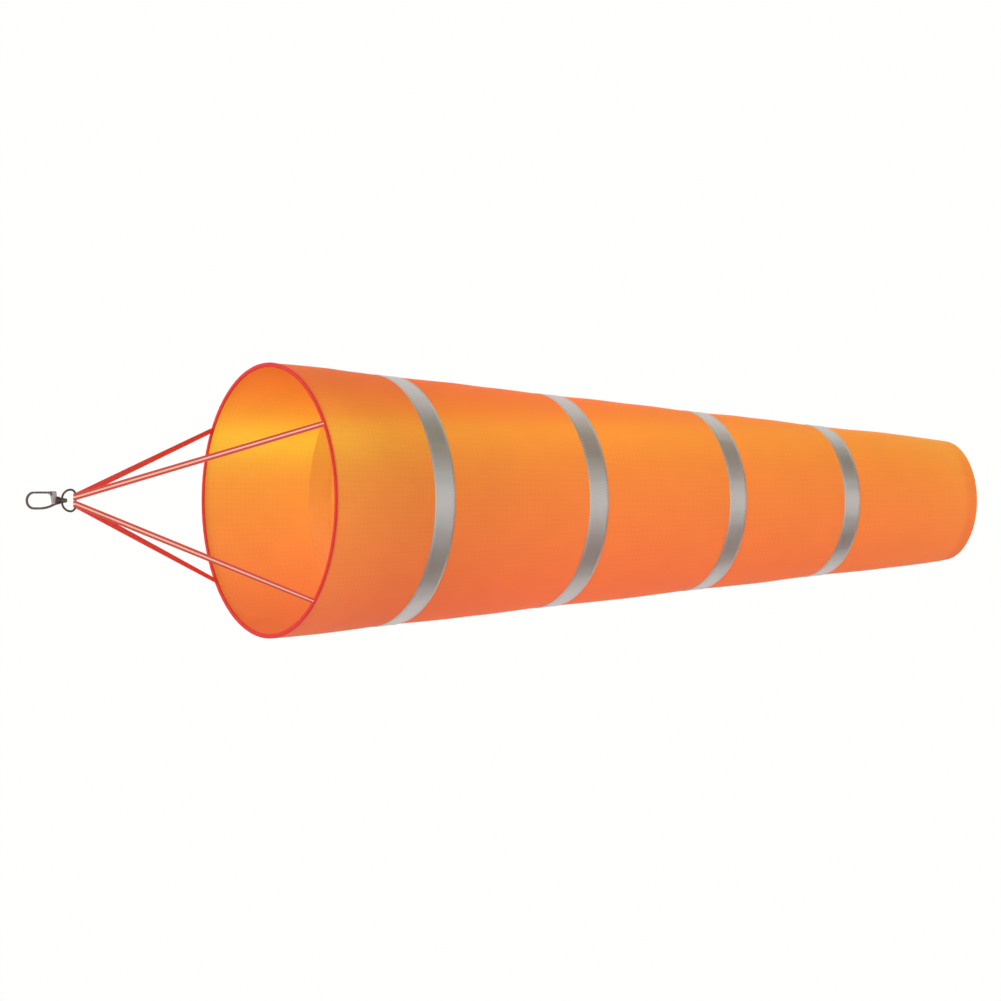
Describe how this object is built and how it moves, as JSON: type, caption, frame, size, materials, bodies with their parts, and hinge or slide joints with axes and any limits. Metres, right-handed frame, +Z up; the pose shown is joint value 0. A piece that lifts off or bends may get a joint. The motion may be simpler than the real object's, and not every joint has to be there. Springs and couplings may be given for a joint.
{
  "type": "windsock",
  "caption": "Tapered cloth windsock with silver bands, held open by a sprung hoop and towed by a strap bridle from a swivel snap hook.",
  "frame": {"origin": "centre of the snap hook's bow, where a ring or halyard sits", "axes": "+X along the sleeve from the hook to the tail, +Z up, gate on top"},
  "size_m": [1.0667, 0.2698, 0.2698],
  "materials": {
    "hook_steel": "dark gunmetal plating, worn on the edges",
    "gate_steel": "dark gunmetal plating",
    "eye_steel": "dark gunmetal plating",
    "pin_steel": "plain steel",
    "rivet_bronze": "dull olive-brown",
    "hoop_steel": "spring steel",
    "ferrule_aluminium": "crimped",
    "rim_red": "red binding tape, stitched",
    "strap_red": "red webbing with a pale tracer",
    "sleeve_orange": "orange ripstop nylon",
    "band_silver": "silver reflective tape"
  },
  "bodies": {
    "snap_hook": {"hook_body": "hook_steel", "gate_pin": "pin_steel", "gate_spring": "pin_steel", "swivel_stem": "rivet_bronze", "swivel_washer": "pin_steel"},
    "gate": {"hook_gate": "gate_steel"},
    "eye": {"swivel_eye": "eye_steel"},
    "mouth": {"bridle_near_upper": "strap_red", "bridle_near_lower": "strap_red", "bridle_far_upper": "strap_red", "bridle_far_lower": "strap_red", "mouth_hoop": "hoop_steel", "hoop_ferrule": "ferrule_aluminium", "mouth_binding": "rim_red", "panel_1_front": "sleeve_orange", "panel_1_fold": "sleeve_orange"},
    "ring_1": {"panel_1_rear": "sleeve_orange", "band_1": "band_silver", "panel_2_front": "sleeve_orange", "panel_2_fold": "sleeve_orange"},
    "ring_2": {"panel_2_rear": "sleeve_orange", "band_2": "band_silver", "panel_3_front": "sleeve_orange", "panel_3_fold": "sleeve_orange"},
    "ring_3": {"panel_3_rear": "sleeve_orange", "band_3": "band_silver", "panel_4_front": "sleeve_orange", "panel_4_fold": "sleeve_orange"},
    "ring_4": {"panel_4_rear": "sleeve_orange", "band_4": "band_silver", "panel_5": "sleeve_orange", "tail_hem": "sleeve_orange"}
  },
  "joints": [
    {"name": "gate_hinge", "type": "hinge", "parent": "snap_hook", "child": "gate", "pos_m": [0.0204, 0, 0.0071], "axis": [0, -1, 0], "range_deg": [0, 28], "stiffness_Nm_per_rad": 0.022, "springref_deg": -23.49, "deforming": ["gate_spring"]},
    {"name": "hook_swivel", "type": "hinge", "parent": "snap_hook", "child": "eye", "pos_m": [0.0303, 0, 0], "axis": [1, 0, 0], "continuous": true},
    {"name": "bridle_pivot", "type": "hinge", "parent": "eye", "child": "mouth", "pos_m": [0.0451, 0, 0], "axis": [0, 0, 1], "range_deg": [-80, 80]},
    {"name": "droop_1", "type": "hinge", "parent": "mouth", "child": "ring_1", "pos_m": [0.316, 0, 0], "axis": [0, 1, 0], "range_deg": [0, 20], "deforming": ["panel_1_fold"]},
    {"name": "droop_2", "type": "hinge", "parent": "ring_1", "child": "ring_2", "pos_m": [0.47975, 0, 0], "axis": [0, 1, 0], "range_deg": [0, 20], "deforming": ["panel_2_fold"]},
    {"name": "droop_3", "type": "hinge", "parent": "ring_2", "child": "ring_3", "pos_m": [0.6605, 0, 0], "axis": [0, 1, 0], "range_deg": [0, 20], "deforming": ["panel_3_fold"]},
    {"name": "droop_4", "type": "hinge", "parent": "ring_3", "child": "ring_4", "pos_m": [0.8205, 0, 0], "axis": [0, 1, 0], "range_deg": [0, 20], "deforming": ["panel_4_fold"]}
  ]
}
